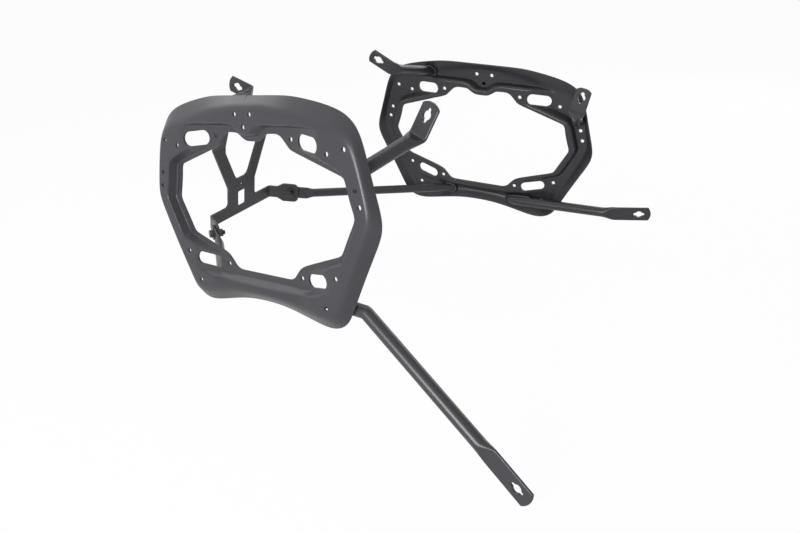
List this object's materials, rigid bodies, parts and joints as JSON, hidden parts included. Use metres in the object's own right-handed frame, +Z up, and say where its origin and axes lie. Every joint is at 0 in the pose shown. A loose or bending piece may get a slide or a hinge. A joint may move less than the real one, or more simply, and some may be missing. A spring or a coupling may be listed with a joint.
{
  "type": "motorbike pannier frame",
  "caption": "Side case carrier for a motorbike: a pressed ring at each side, bent arms with flattened ends, and a bolted cross brace behind.",
  "frame": {"origin": "middle of the mounting hole in the flattened end of the right forward strut", "axes": "+X toward the front of the bike, +Y to its left, +Z up"},
  "size_m": [0.7453, 0.737, 0.428],
  "materials": {
    "powder_coat": "fine satin powder coat",
    "black_fastener": "satin black zinc"
  },
  "bodies": {
    "root": {"ring_right": "powder_coat", "ring_left": "powder_coat", "forward_strut_right": "powder_coat", "forward_strut_left": "powder_coat", "front_arm_right": "powder_coat", "front_arm_left": "powder_coat", "rear_arm_right": "powder_coat", "rear_arm_left": "powder_coat", "cross_tube_left": "powder_coat", "cross_stub_right": "powder_coat", "cross_plate": "powder_coat", "bolt_right": "black_fastener", "bolt_left": "black_fastener", "nut_right": "black_fastener", "nut_left": "black_fastener", "nut_washer_right": "black_fastener", "nut_washer_left": "black_fastener", "head_washer_right": "black_fastener", "head_washer_left": "black_fastener"}
  },
  "joints": []
}
